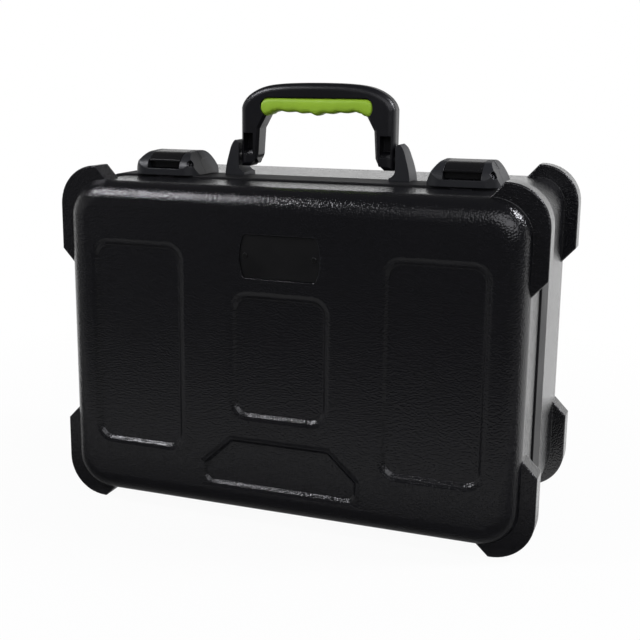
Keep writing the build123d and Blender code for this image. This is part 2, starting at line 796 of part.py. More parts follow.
def handle_sketch():
    """Front outline of the handle's bow, with the opening for the hand."""
    half = handle_half
    inner = handle_inner_half
    arch_shape = [(1, 1), (0.942, 0.635), (0.831, 0.352), (0.693, 0.165), (0.526, 0.065), (0.277, 0.013)]
    shoulder = [(share * half, handle_apex - drop * arch_rise) for share, drop in arch_shape]
    arch = shoulder + [(0, handle_apex)] + [(-x, height) for x, height in reversed(shoulder)]
    right = [
        (opening_corner, opening_top),
        (inner, opening_top - opening_slant),
        (inner + 1.6, pivot_height + 1.0),
        (inner + 3.4, pivot_height - 2.0),
        (inner + 9.8, handle_bottom),
        (half, handle_bottom),
        (half, handle_apex - arch_rise),
    ]
    left = [(-x, height) for x, height in reversed(right)]
    return make_face([Spline(*arch), Polyline(*left, *right)])


def build_handle_bow():
    body = along_y(handle_sketch(), handle_front, handle_rear)
    outer = handle_half - 0.5
    arch = handle_apex - 10

    def on_outside(line):
        return line.center().Z > arch or abs(line.center().X) > outer

    hand_side = edges_at(body, handle_front) + edges_at(body, handle_rear)
    hand_side = hand_side.filter_by(lambda line: line.center().Z > pivot_height and not on_outside(line))
    body = chamfer(hand_side, handle_edge)
    outside = edges_at(body, handle_front) + edges_at(body, handle_rear)
    body = fillet(outside.filter_by(on_outside), handle_round)
    seat = grip_sketch()
    body -= along_y(seat, handle_front - 1, handle_front + grip_wall)
    body -= along_y(seat, handle_rear - grip_wall, handle_rear + 1)
    under = opening_corner
    body -= block(-under, under, handle_front - 1, handle_rear + 1, opening_top - 4, core_bottom)
    for side in (-1, 1):
        inner, outer = sorted((side * leg_window_inner, side * leg_window_outer))
        window_end = handle_front + leg_window_sink
        body -= block(inner, outer, handle_front - 1, window_end, leg_window_bottom, leg_window_top)
        low, high = sorted((side * (handle_inner_half + 3.2), side * (handle_half - 0.2)))
        body += rod_x(pivot_boss_radius, pivot_depth, pivot_height, low, high)
        low, high = sorted((side * handle_pin_inner_end, side * (handle_half + 8)))
        body -= rod_x(pivot_radius + pivot_gap, pivot_depth, pivot_height, low, high)
    swing = pivot_height - handle_bottom + 2.5
    low = handle_bottom - 5
    foot = block(-80, 80, handle_front - 5, handle_rear + 5, low, pivot_height)
    foot -= rod_x(swing, pivot_depth, pivot_height, -80, 80)
    return body - foot


def build_handle_grip(bow):
    body = along_y(grip_sketch(), handle_front, handle_rear)
    return body - bow


def bracket(side):
    """Handle bracket: a fin outside the handle's leg, on a foot that is screwed to the rim."""
    inner = bracket_inner
    outer = bracket_foot_outer
    outer_curve = [
        (outer, collar_top),
        (outer - 1.4, collar_top + 10.5),
        (outer - 4.3, collar_top + 21.5),
        (outer - 7.6, bracket_top - 2.6),
        (outer - 9.9, bracket_top),
    ]
    outline = make_face([
        Line((bracket_foot_inner, collar_top), (outer, collar_top)),
        Spline(*outer_curve),
        Polyline(
            outer_curve[-1],
            (inner + 1.4, bracket_top - 0.8),
            (inner, bracket_top - 3.0),
            (inner, collar_top + 10.4),
        ),
        ThreePointArc(
            (inner, collar_top + 10.4),
            (inner - 1.5, collar_top + 5.4),
            (bracket_foot_inner, collar_top + 2.8),
        ),
        Line((bracket_foot_inner, collar_top + 2.8), (bracket_foot_inner, collar_top)),
    ])
    body = along_y(outline, handle_front, bracket_rear)
    profile = [
        (handle_front, shell_top - 1),
        (handle_front, bracket_top + 1),
        (handle_rear - 6.0, bracket_top + 1),
        (handle_rear - 1.5, pivot_height + 11.0),
        (handle_rear + 2.5, pivot_height - 1.0),
        (bracket_rear, collar_top),
        (bracket_rear, shell_top - 1),
    ]
    body = body & along_x(profile, bracket_foot_inner - 5, outer + 5)
    body += block(bracket_foot_inner, outer, collar_end, bracket_rear, shell_top, collar_top)
    body -= rod_x(pivot_radius, pivot_depth, pivot_height, inner - 3, handle_pin_outer_end)
    for x, depth in bracket_screw_places():
        if x > 0:
            body -= rod_z(screw_radius + rivet_gap, x, depth, shell_top - 1, collar_top + 8)
    return body if side > 0 else mirrored(body)


def handle_pin(side):
    """Pivot pin with a washer collar between the handle's leg and the bracket's fin."""
    pin = rod_x(pivot_radius, pivot_depth, pivot_height, handle_pin_inner_end, handle_pin_outer_end)
    pin += rod_x(5.4, pivot_depth, pivot_height, handle_half + turn_gap, bracket_inner)
    return pin if side > 0 else mirrored(pin)


def build_fitting_screws(places):
    seat = shell_top - wall
    return Compound(children=[screw_up(x, depth, seat, collar_top + 7.5) for x, depth in places])


# --- padding --------------------------------------------------------------
def pad_outline():
    inset = wall + skirt_wall + pad_gap
    return case_outline(inset, lid_corner - inset)


def slot_places():
    """Centres of the slots that the microphones stand in."""
    width = 2 * (shell_half_width - wall - skirt_wall - pad_gap)
    height = shell_top - shell_bottom - 2 * (wall + skirt_wall + pad_gap)
    bar = (width - slot_columns * slot_width) / (slot_columns + 1)
    rail = (height - slot_rows * slot_height) / (slot_rows + 1)
    middle = (shell_top + shell_bottom) / 2
    columns = [(n - (slot_columns - 1) / 2) * (slot_width + bar) for n in range(slot_columns)]
    rows = [middle + (n - (slot_rows - 1) / 2) * (slot_height + rail) for n in range(slot_rows)]
    return columns, rows, bar, rail


def build_foam_rails():
    """Long foam bars above, between and below the rows of slots."""
    columns, rows, bar, rail = slot_places()
    heights = [rows[0] - (slot_height + rail) / 2]
    for row in rows:
        heights.append(row + (slot_height + rail) / 2)
    whole = along_y(pad_outline(), slot_front, slot_end)
    rails = []
    for height in heights:
        band = block(-300, 300, slot_front, slot_end, height - rail / 2, height + rail / 2)
        rails.append(whole & band)
    return Compound(children=rails)


def build_foam_dividers():
    """Short foam blocks between neighbouring slots of each row."""
    columns, rows, bar, rail = slot_places()
    middles = [columns[0] - (slot_width + bar) / 2]
    for column in columns:
        middles.append(column + (slot_width + bar) / 2)
    dividers = []
    for row in rows:
        for x in middles:
            low = row - slot_height / 2
            high = row + slot_height / 2
            dividers.append(block(x - bar / 2, x + bar / 2, slot_front, slot_end, low, high))
    return Compound(children=dividers)


def build_foam_floor():
    """Foam slab behind the slots, rounded to fit the shell's rear edges."""
    body = along_y(pad_outline(), slot_end, slot_end + floor_pad)
    return fillet(body.edges().group_by(Axis.Y)[-1], pad_round)


def build_lid_foam():
    """Foam slab in the lid that presses on the microphone heads."""
    outline = case_outline(tongue_inner_inset + pad_gap, lid_corner - tongue_inner_inset - pad_gap)
    body = along_y(outline, lid_pad_start, lid_pad_end)
    return fillet(body.edges().group_by(Axis.Y)[0], pad_round)


# --- all pieces -----------------------------------------------------------
def all_pieces():
    pieces = {}
    pieces["lid_shell"] = build_lid_shell()
    pieces["base_shell"] = build_base_shell()
    pieces["lid_rim"] = build_lid_rim()
    pieces["base_rim"] = build_base_rim()
    pieces["rim_seal"] = build_rim_seal()
    pieces["name_plate"] = build_name_plate()
    pieces["name_plate_rivets"] = build_name_plate_rivets()
    for side, sign in (("left", -1), ("right", 1)):
        pieces["hinge_lid_leaf_" + side] = build_leaf(sign * hinge_centre_x, True)
        pieces["hinge_base_leaf_" + side] = build_leaf(sign * hinge_centre_x, False)
        pieces["hinge_pin_" + side] = build_hinge_pin(sign * hinge_centre_x)
    pieces["lid_hinge_rivets"] = build_lid_hinge_rivets()
    pieces["base_hinge_rivets"] = build_base_hinge_rivets()
    form = latch_form()
    housing = build_latch_housing(form)
    lever = build_latch_lever(form)
    for side, sign in (("left", -1), ("right", 1)):
        place = Pos(sign * latch_centre_x, 0, 0)
        pieces["latch_housing_" + side] = place * housing
        pieces["latch_lever_" + side] = place * lever
        pieces["latch_pin_" + side] = place * build_latch_pin()
        pieces["latch_spring_" + side] = place * build_latch_spring()
        pieces["lock_cylinder_" + side] = place * build_lock()
        pieces["latch_keeper_" + side] = place * build_keeper()
    pieces["latch_screws"] = build_fitting_screws(latch_screw_places())
    pieces["keeper_screws"] = build_keeper_screws()
    bow = build_handle_bow()
    pieces["handle_bow"] = bow
    pieces["handle_grip"] = build_handle_grip(bow)
    for side, sign in (("left", -1), ("right", 1)):
        pieces["handle_bracket_" + side] = bracket(sign)
        pieces["handle_pin_" + side] = handle_pin(sign)
    pieces["bracket_screws"] = build_fitting_screws(bracket_screw_places())
    pieces["foam_rails"] = build_foam_rails()
    pieces["foam_dividers"] = build_foam_dividers()
    pieces["foam_floor"] = build_foam_floor()
    pieces["lid_foam"] = build_lid_foam()
    return pieces


os.makedirs("parts", exist_ok=True)
for name, piece in all_pieces().items():
    export_step(piece, "parts/" + name + ".step")
    print(name, len(piece.solids()))
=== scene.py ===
# %% [markdown]
# # A hard case for microphones
# Two deep moulded shells, hinged along the side that the case stands on, with two lever
# latches and a folding handle on top. The handle has a soft lime-green grip, and inside
# there is dark foam with a slot for each microphone.
#
# The shells, latches, hinges and handle come in as finished solids, so most of the work
# here is finish: what the black plastic, the rubber, the steel and the foam look like from
# a step away. The soft pieces, the grip and the foam, are modelled in this file.

import math

import bmesh
import bpy
import numpy as np
from mathutils import Matrix, Vector


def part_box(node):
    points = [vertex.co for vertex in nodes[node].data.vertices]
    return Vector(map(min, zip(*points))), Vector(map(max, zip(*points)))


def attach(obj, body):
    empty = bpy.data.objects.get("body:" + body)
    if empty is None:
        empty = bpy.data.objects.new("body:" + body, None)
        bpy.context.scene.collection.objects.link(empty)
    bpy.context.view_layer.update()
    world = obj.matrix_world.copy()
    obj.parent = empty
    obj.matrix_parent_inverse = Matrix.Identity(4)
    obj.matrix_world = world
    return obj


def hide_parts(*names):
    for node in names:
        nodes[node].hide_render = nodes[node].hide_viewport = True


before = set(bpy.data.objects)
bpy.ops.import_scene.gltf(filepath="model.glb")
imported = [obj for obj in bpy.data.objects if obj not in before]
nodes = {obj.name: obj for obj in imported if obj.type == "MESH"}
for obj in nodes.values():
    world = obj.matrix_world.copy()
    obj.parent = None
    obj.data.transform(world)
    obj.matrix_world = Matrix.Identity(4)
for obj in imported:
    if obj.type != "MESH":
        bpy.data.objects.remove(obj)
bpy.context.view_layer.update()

# %% [markdown]
# ## Where things are
# The case stands in the middle of the frame, with the front of its lid toward the camera
# (minus Y). Depths are easiest to think of as millimetres behind that front.

# %% Depths
CASE_DEPTH = 0.231


def behind_front(depth_mm):
    """Y of a plane this many millimetres behind the lid's front face."""
    return depth_mm / 1000 - CASE_DEPTH / 2


print("front face at Y", behind_front(0), "rear face at Y", behind_front(CASE_DEPTH * 1000))

# %% [markdown]
# ## Small helpers for shader trees
# Every finish below is a node tree. These helpers keep the trees readable: the first makes a
# node and fills in its inputs, and the others are the few sums and patterns used throughout.

# %% Node helpers
FLOAT = "NodeSocketFloat"


def fill_input(tree, socket, value):
    """Link a socket to another node, or give it a plain value."""
    if isinstance(value, bpy.types.NodeSocket):
        tree.links.new(value, socket)
    else:
        socket.default_value = value


def add_node(tree, kind, inputs=None, **settings):
    node = tree.nodes.new(kind)
    for name, value in settings.items():
        setattr(node, name, value)
    for name, value in (inputs or {}).items():
        fill_input(tree, node.inputs[name], value)
    return node


def calculate(tree, operation, first, second=0.0, clamp=False):
    node = add_node(tree, "ShaderNodeMath", {0: first, 1: second}, operation=operation)
    node.use_clamp = clamp
    return node.outputs[0]


def calculate_vector(tree, operation, first, second=(0.0, 0.0, 0.0)):
    """Sums with vectors; a length or a dot product comes out as one number."""
    node = add_node(tree, "ShaderNodeVectorMath", {0: first, 1: second}, operation=operation)
    return node.outputs["Value" if operation in ("LENGTH", "DOT_PRODUCT") else "Vector"]


def between(tree, value, low, high, to_low=0.0, to_high=1.0):
    """Map a value from one range to another, clamped at both ends."""
    inputs = {"Value": value, "From Min": low, "From Max": high, "To Min": to_low, "To Max": to_high}
    return add_node(tree, "ShaderNodeMapRange", inputs).outputs[0]


def object_place(tree):
    return add_node(tree, "ShaderNodeTexCoord").outputs["Object"]


def cloud_noise(tree, place, scale, detail, output="Fac"):
    inputs = {"Vector": place, "Scale": scale, "Detail": detail}
    return add_node(tree, "ShaderNodeTexNoise", inputs).outputs[output]


print("helpers:", add_node.__name__, calculate.__name__, between.__name__, cloud_noise.__name__)

# %% [markdown]
# A node group is a tree of its own with named sockets, which many materials can share. The
# four groups below put out heights, masks and factors. The materials decide what to do with
# them.

# %% Group helpers
def new_group(name, inputs, output_names):
    """A node group with named inputs and outputs, and its two end nodes."""
    group = bpy.data.node_groups.new(name, "ShaderNodeTree")
    for label, value in inputs.items():
        socket = group.interface.new_socket(label, in_out="INPUT", socket_type=FLOAT)
        socket.default_value = value
    for label in output_names:
        group.interface.new_socket(label, in_out="OUTPUT", socket_type=FLOAT)
    return group, group.nodes.new("NodeGroupInput"), group.nodes.new("NodeGroupOutput")


def use_group(tree, group, **values):
    node = add_node(tree, "ShaderNodeGroup", node_tree=group)
    for name, value in values.items():
        node.inputs[name.replace("_", " ")].default_value = value
    return node


print("group helpers:", new_group.__name__, use_group.__name__)

# %% [markdown]
# ## Moulded grain
# The shells have the pebbled skin of a textured mould: small rounded islands between one and
# two millimetres across. It hardly shows where the surface is dark, but it breaks the
# highlight on the rounded top edge into sparkles. Modelling it would take millions of faces,
# so it is a bump made from two noises: cells for the islands, and finer clouds that roughen
# their tops. The group puts out the height, and each material sets how deep it is.

# %% Grain group
WARP_PER_METRE = 700.0
WARP_METRES = 0.0007
ISLAND_SMOOTHNESS = 0.35
ISLAND_TOP, ISLAND_FOOT = 0.15, 0.75


def build_grain_group():
    inputs = {"Cells per metre": 900.0, "Fine per metre": 3500.0, "Fine share": 0.3}
    group, start, end = new_group("moulded_grain", inputs, ["Height", "Valley"])
    place = object_place(group)
    warp = cloud_noise(group, place, WARP_PER_METRE, 2.0, "Color")
    shifted = calculate_vector(group, "ADD", warp, (-0.5, -0.5, -0.5))
    small = calculate_vector(group, "MULTIPLY", shifted, (WARP_METRES,) * 3)
    moved = calculate_vector(group, "ADD", place, small)
    scale = start.outputs["Cells per metre"]
    inputs = {"Vector": moved, "Scale": scale, "Smoothness": ISLAND_SMOOTHNESS}
    cells = add_node(group, "ShaderNodeTexVoronoi", inputs, feature="SMOOTH_F1")
    island = between(group, cells.outputs["Distance"], ISLAND_TOP, ISLAND_FOOT, 1.0, 0.0)
    fine = cloud_noise(group, place, start.outputs["Fine per metre"], 3.0)
    fine_part = calculate(group, "MULTIPLY", fine, start.outputs["Fine share"])
    group.links.new(calculate(group, "ADD", island, fine_part), end.inputs["Height"])
    group.links.new(calculate(group, "SUBTRACT", 1.0, island, clamp=True), end.inputs["Valley"])
    return group


GRAIN = build_grain_group()
print("group:", GRAIN.name, "nodes:", len(GRAIN.nodes))

# %% [markdown]
# ## Rubbed edges
# Handling polishes a case along its edges. Painted by hand, this would have to be done anew
# for each piece, so it is found from the shape. The Bevel node rounds the shading normal near
# an edge, so where it departs from the true normal there is an edge. A cloud noise breaks the
# line up, since wear is never even.

# %% Wear group
EDGE_FACING = (0.995, 0.86)
WORN_PATCHES = (0.42, 0.62)


def build_wear_group():
    inputs = {"Width": 0.0008, "Amount": 0.5, "Patches per metre": 60.0}
    group, start, end = new_group("rubbed_edges", inputs, ["Mask"])
    rounded = add_node(group, "ShaderNodeBevel", {"Radius": start.outputs["Width"]}, samples=4)
    true = add_node(group, "ShaderNodeNewGeometry").outputs["Normal"]
    facing = calculate_vector(group, "DOT_PRODUCT", rounded.outputs[0], true)
    edge = between(group, facing, *EDGE_FACING)
    patches = cloud_noise(group, object_place(group), start.outputs["Patches per metre"], 5.0)
    mask = calculate(group, "MULTIPLY", edge, between(group, patches, *WORN_PATCHES))
    group.links.new(calculate(group, "MULTIPLY", mask, start.outputs["Amount"]), end.inputs["Mask"])
    return group


WEAR = build_wear_group()
print("group:", WEAR.name, "nodes:", len(WEAR.nodes))

# %% [markdown]
# ## Handling marks
# Large soft clouds where hands and cloths have passed, and a few very fine scratches. They
# change how shiny a surface is, and in the rubber the tone of its colour too. One noise gives
# the clouds, and another, stretched along one slanting direction, gives the scratches.

# %% Marks group
CLOUD_RANGE = (0.3, 0.7)
SCRATCH_TURN = (0.3, 0.5, 0.4)
SCRATCH_STRETCH = (1, 1, 14)
SCRATCHES_PER_METRE = 90.0
SCRATCH_RANGE = (0.66, 0.72)


def build_marks_group():
    inputs = {"Clouds per metre": 12.0, "Scratch share": 0.3}
    group, start, end = new_group("handling_marks", inputs, ["Factor"])
    place = object_place(group)
    clouds = cloud_noise(group, place, start.outputs["Clouds per metre"], 4.0)
    inputs = {"Vector": place, "Rotation": SCRATCH_TURN, "Scale": SCRATCH_STRETCH}
    turned = add_node(group, "ShaderNodeMapping", inputs).outputs[0]
    lines = cloud_noise(group, turned, SCRATCHES_PER_METRE, 3.0)
    scratch = between(group, lines, *SCRATCH_RANGE)
    scratch = calculate(group, "MULTIPLY", scratch, start.outputs["Scratch share"])
    cloud = between(group, clouds, *CLOUD_RANGE)
    group.links.new(calculate(group, "ADD", cloud, scratch), end.inputs["Factor"])
    return group


MARKS = build_marks_group()
print("group:", MARKS.name, "nodes:", len(MARKS.nodes))

# %% [markdown]
# ## Soft panel edges
# The sunk panels have no sharp outline: the skin starts to dip a few millimetres before the
# edge, and that soft dip is what catches the light. The solids have plain narrow bevels and
# aren't changed in this file, so the dip is a bump. The group measures how far each point is
# from the nearest panel outline and lets the height fall over the last few millimetres. The
# side panels are mirror images, so the sums use the distance from the middle plane.

# %% Panel outlines
SIDE_PANEL = {"centre": (0.1370, 0.1593), "half": (0.0431, 0.0937)}
CENTRE_PANEL = {"centre": (0.0, 0.1587), "half": (0.0433, 0.0551)}
PANEL_CORNER = 0.014
FOOT_HALF, FOOT_LOW, FOOT_TOP = 0.0725, 0.0367, 0.0809
FOOT_SHOULDER = (0.0725, 0.0560)
FOOT_SLANT = (0.685, 0.729)
DIP_REACH = 0.004


def panel_distance(tree, folded, centre, half):
    """Distance from the outline of a rectangle with round corners, seen from the front."""
    straight = (half[0] - PANEL_CORNER, 0.0, half[1] - PANEL_CORNER)
    away = calculate_vector(tree, "SUBTRACT", folded, (centre[0], 0.0, centre[1]))
    over = calculate_vector(tree, "SUBTRACT", calculate_vector(tree, "ABSOLUTE", away), straight)
    outer = calculate_vector(tree, "LENGTH", calculate_vector(tree, "MAXIMUM", over))
    parts = add_node(tree, "ShaderNodeSeparateXYZ", {0: over})
    larger = calculate(tree, "MAXIMUM", parts.outputs["X"], parts.outputs["Z"])
    inner = calculate(tree, "MINIMUM", larger, 0.0)
    return calculate(tree, "SUBTRACT", calculate(tree, "ADD", outer, inner), PANEL_CORNER)


def foot_distance(tree, folded, across, depth, up):
    """Distance from the low panel with slanted shoulders, which only the lid has."""
    slant = calculate_vector(tree, "DOT_PRODUCT", folded, (FOOT_SLANT[0], 0.0, FOOT_SLANT[1]))
    reach = FOOT_SLANT[0] * FOOT_SHOULDER[0] + FOOT_SLANT[1] * FOOT_SHOULDER[1]
    sides = [calculate(tree, "SUBTRACT", first, second)
             for first, second in ((across, FOOT_HALF), (slant, reach), (FOOT_LOW, up), (up, FOOT_TOP))]
    farthest = sides[0]
    for side in sides[1:]:
        farthest = calculate(tree, "MAXIMUM", farthest, side)
    on_base = calculate(tree, "GREATER_THAN", depth, 0.0)
    return calculate(tree, "ADD", farthest, on_base)


print("panels: side", SIDE_PANEL["half"], "centre", CENTRE_PANEL["half"], "foot", FOOT_HALF)

# %% Panel edge group
def build_edge_group():
    group, start, end = new_group("soft_panel_edges", {"Reach": DIP_REACH}, ["Height"])
    parts = add_node(group, "ShaderNodeSeparateXYZ", {0: object_place(group)})
    across, depth, up = (parts.outputs[axis] for axis in "XYZ")
    across = calculate(group, "ABSOLUTE", across)
    folded = add_node(group, "ShaderNodeCombineXYZ", {"X": across, "Z": up}).outputs[0]
    side = panel_distance(group, folded, **SIDE_PANEL)
    centre = panel_distance(group, folded, **CENTRE_PANEL)
    foot = foot_distance(group, folded, across, depth, up)
    nearest = calculate(group, "MINIMUM", calculate(group, "MINIMUM", side, centre), foot)
    inputs = {"Value": nearest, "From Min": 0.0, "From Max": start.outputs["Reach"]}
    dip = add_node(group, "ShaderNodeMapRange", inputs, interpolation_type="SMOOTHSTEP").outputs[0]
    group.links.new(dip, end.inputs["Height"])
    return group


PANEL_EDGES = build_edge_group()
print("group:", PANEL_EDGES.name, "nodes:", len(PANEL_EDGES.nodes))

# %% [markdown]
# ## Starting a material
# Each material begins with the same surface shader, and gets its colour, roughness and
# relief through these four helpers.

# %% Material helpers
def start_material(name):
    material = bpy.data.materials.new(name)
    material.use_nodes = True
    tree = material.node_tree
    return material, tree, tree.nodes["Principled BSDF"]


def set_colour(tree, surface, amount, first, second):
    """Blend two colours by this amount and use the result."""
    mix = add_node(tree, "ShaderNodeMix", data_type="RGBA")
    for index, value in ((0, amount), (6, [*first, 1]), (7, [*second, 1])):
        fill_input(tree, mix.inputs[index], value)
    tree.links.new(mix.outputs[2], surface.inputs["Base Color"])


def set_roughness(tree, surface, roughness):
    tree.links.new(roughness, surface.inputs["Roughness"])


def set_relief(tree, surface, height, distance, **inputs):
    bump = add_node(tree, "ShaderNodeBump", {"Height": height, "Distance": distance, **inputs})
    tree.links.new(bump.outputs[0], surface.inputs["Normal"])


print("material helpers:", start_material.__name__, set_colour.__name__, set_relief.__name__)

# %% [markdown]
# ## Plastic finishes
# One maker function builds all the black plastics, since they differ only in numbers: how
# dark, how shiny, how coarse the mould's texture. Colour stays almost even, as in dyed
# plastic. Nearly everything that tells the finishes apart is roughness and bump.

# %% Plastic maker
WEAR_PER_EDGE = 1.5
WEAR_AMOUNT = 0.4
PALER, LIFTED = 1.9, 0.006
POLISH = 0.12


def plastic(name, colour, smooth, rough, cells, depth_mm, edge_mm, level=0.5, dip_mm=0.0):
    """Dyed plastic, from smooth to rough, with a grain, rounded edges and a panel dip."""
    material, tree, surface = start_material(name)
    grain = use_group(tree, GRAIN, Cells_per_metre=cells, Fine_per_metre=cells * 4)
    wear_width = edge_mm / 1000 * WEAR_PER_EDGE
    worn = use_group(tree, WEAR, Width=wear_width, Amount=WEAR_AMOUNT).outputs["Mask"]
    marks = use_group(tree, MARKS).outputs["Factor"]
    pale = [c * PALER + LIFTED for c in colour]
    set_colour(tree, surface, worn, colour, pale)
    polished = calculate(tree, "MULTIPLY", worn, POLISH)
    even = between(tree, marks, 0, 1, rough, smooth)
    set_roughness(tree, surface, calculate(tree, "SUBTRACT", even, polished, clamp=True))
    height = grain.outputs["Height"]
    if dip_mm:
        dip = use_group(tree, PANEL_EDGES).outputs["Height"]
        height = calculate(tree, "ADD", height, calculate(tree, "MULTIPLY", dip, dip_mm / depth_mm))
    edge = add_node(tree, "ShaderNodeBevel", {"Radius": edge_mm / 1000}, samples=6).outputs[0]
    set_relief(tree, surface, height, depth_mm / 1000, Strength=1.0, Normal=edge)
    surface.inputs["Specular IOR Level"].default_value = level
    return material


SHELL_PLASTIC = plastic("pebbled shell plastic", (0.0062, 0.0062, 0.0076), 0.13, 0.18, cells=600,
                        depth_mm=0.17, edge_mm=1.4, level=0.6, dip_mm=0.9)
RIM_PLASTIC = plastic("smooth rim plastic", (0.006, 0.006, 0.007), 0.50, 0.60, cells=1600,
                      depth_mm=0.03, edge_mm=0.4, level=0.35)
# Paler than the other nylons. On the handle brackets this paleness is painted light for their shaded
# fronts.
LATCH_PLASTIC = plastic("latch nylon", (0.019, 0.020, 0.023), 0.38, 0.48, cells=2600,
                        depth_mm=0.02, edge_mm=0.8)
LEVER_PLASTIC = plastic("lever nylon", (0.007, 0.007, 0.008), 0.24, 0.32, cells=2600,
                        depth_mm=0.015, edge_mm=0.7)
HANDLE_PLASTIC = plastic("handle nylon", (0.006, 0.006, 0.008), 0.28, 0.38, cells=2200,
                         depth_mm=0.03, edge_mm=0.6)
PLASTICS = (SHELL_PLASTIC, RIM_PLASTIC, LATCH_PLASTIC, LEVER_PLASTIC, HANDLE_PLASTIC)
print("plastics:", [material.name for material in PLASTICS])

# %% [markdown]
# ## Painted plate
# The name plate and its rivets have a satin black coat, which is rubbed grey along the edges.
# It is built like the plastic, but with a much finer grain, as paint follows the sheet.

# %% Paint
RUBBED_THROUGH = (0.09, 0.09, 0.095)


def painted_sheet(name, colour, roughness):
    material, tree, surface = start_material(name)
    grain = use_group(tree, GRAIN, Cells_per_metre=3000, Fine_per_metre=9000, Fine_share=0.5)
    worn = use_group(tree, WEAR, Width=0.0006, Amount=0.5)
    set_colour(tree, surface, worn.outputs["Mask"], colour, RUBBED_THROUGH)
    marks = use_group(tree, MARKS, Clouds_per_metre=40.0, Scratch_share=0.5).outputs["Factor"]
    set_roughness(tree, surface, between(tree, marks, 0, 1, roughness + 0.08, roughness - 0.05))
    set_relief(tree, surface, grain.outputs["Height"], 0.00002)
    return material


PLATE_PAINT = painted_sheet("satin black plate", (0.004, 0.004, 0.0045), 0.36)
RIVET_PAINT = painted_sheet("black rivet", (0.006, 0.006, 0.006), 0.22)
print("paints:", PLATE_PAINT.name, RIVET_PAINT.name)

# %% [markdown]
# ## Steel
# The catches and hinges are blackened steel, screws and pins are zinc plated, and the lock
# cylinders are darker still: blackened metal, with the dark of the keyhole painted in as shade.
# Metals keep Metallic at 1 and get their life from the fine lines that drawing and turning
# leave, which here are a noise stretched along one axis.

# %% Metal finishes
def drawn_metal(name, colour, roughness, lines_per_metre=1500.0):
    material, tree, surface = start_material(name)
    surface.inputs["Metallic"].default_value = 1.0
    place = object_place(tree)
    inputs = {"Vector": place, "Scale": (0.05, 1, 1)}
    stretched = add_node(tree, "ShaderNodeMapping", inputs).outputs[0]
    lines = cloud_noise(tree, stretched, lines_per_metre, 4.0)
    clouds = cloud_noise(tree, place, 120.0, 3.0)
    dull = [c * 0.6 for c in colour]
    set_colour(tree, surface, between(tree, clouds, 0.35, 0.7), colour, dull)
    set_roughness(tree, surface, between(tree, lines, 0.3, 0.7, roughness - 0.08, roughness + 0.12))
    set_relief(tree, surface, lines, 0.00001)
    return material


BLACK_STEEL = drawn_metal("blackened steel", (0.10, 0.10, 0.11), 0.42)
ZINC_STEEL = drawn_metal("zinc plated steel", (0.62, 0.62, 0.60), 0.30)
# The lock's colour is partly painted shade, for the dark keyhole.
LOCK_METAL_AND_KEYHOLE_SHADE = drawn_metal("blackened lock and keyhole shade", (0.03, 0.03, 0.032), 0.50)
print("metals:", BLACK_STEEL.name, ZINC_STEEL.name, LOCK_METAL_AND_KEYHOLE_SHADE.name)

# %% [markdown]
# ## Soft rubber
# The grip is a thermoplastic rubber: an even lime green with a satin bloom and a skin of very
# fine pits, with painted shade that darkens their depths a little.

# %% Rubber
def soft_rubber(name, colour, pit_shade_and_tone, roughness):
    material, tree, surface = start_material(name)
    grain = use_group(tree, GRAIN, Cells_per_metre=2600, Fine_per_metre=7000, Fine_share=0.5)
    marks = use_group(tree, MARKS, Clouds_per_metre=35.0, Scratch_share=0.0).outputs["Factor"]
    tone = between(tree, marks, 0, 1, 0.0, 0.5)
    # Painted shade: the grain's valleys take the darker green, as if the pits lay in shade. The clouds of
    # the marks vary the tone at random.
    pit_shade = calculate(tree, "MULTIPLY", grain.outputs["Valley"], 0.35)
    set_colour(tree, surface, calculate(tree, "ADD", tone, pit_shade, clamp=True), colour, pit_shade_and_tone)
    set_roughness(tree, surface, between(tree, marks, 0, 1, roughness - 0.06, roughness + 0.06))
    set_relief(tree, surface, grain.outputs["Height"], 0.00003)
    return material


GRIP_RUBBER = soft_rubber("lime soft grip", (0.43, 0.70, 0.046), (0.33, 0.57, 0.030), 0.45)
SEAL_RUBBER = soft_rubber("black seal rubber", (0.012, 0.012, 0.012), (0.006, 0.006, 0.006), 0.65)
print("rubbers:", GRIP_RUBBER.name, SEAL_RUBBER.name)

# %% [markdown]
# ## Foam
# The foam is charcoal and open-celled, which needs a deep, fine pit pattern and no gloss at
# all. The pits get painted shade, darker than the skin between them, and soft patches vary the tone at
# random.

# %% Foam finish
PORES_PER_METRE = 1100.0
FLUFF_PER_METRE = 2600.0


def open_foam(name, colour, pit_shade_colour):
    material, tree, surface = start_material(name)
    place = object_place(tree)
    inputs = {"Vector": place, "Scale": PORES_PER_METRE}
    pores = add_node(tree, "ShaderNodeTexVoronoi", inputs, feature="F1")
    fluff = cloud_noise(tree, place, FLUFF_PER_METRE, 4.0)
    clouds = cloud_noise(tree, place, 25.0, 3.0)
    pit = between(tree, pores.outputs["Distance"], 0.1, 0.8)
    height = calculate(tree, "ADD", pit, calculate(tree, "MULTIPLY", fluff, 0.8))
    patches = between(tree, clouds, 0.2, 0.8, 0.7, 1.0)
    # Painted shade: the low parts of the pore pattern take the darker colour, and the cloud patches vary
    # it at random.
    pit_shade_and_tone = calculate(tree, "MULTIPLY", between(tree, height, 0.2, 1.2), patches)
    set_colour(tree, surface, pit_shade_and_tone, pit_shade_colour, colour)
    set_roughness(tree, surface, between(tree, height, 0.2, 1.2, 1.0, 0.9))
    surface.inputs["Specular IOR Level"].default_value = 0.12
    set_relief(tree, surface, height, 0.0006, Strength=0.8)
    return material


FOAM = open_foam("charcoal foam", (0.050, 0.050, 0.055), (0.010, 0.010, 0.011))
print("foam:", FOAM.name)

# %% [markdown]
# ## Dress the solid pieces
# The solids already have the right shapes, so they only change their material. Each finish
# lists the start of the names of the pieces it covers. A later line wins, as for the rivets
# of the name plate.

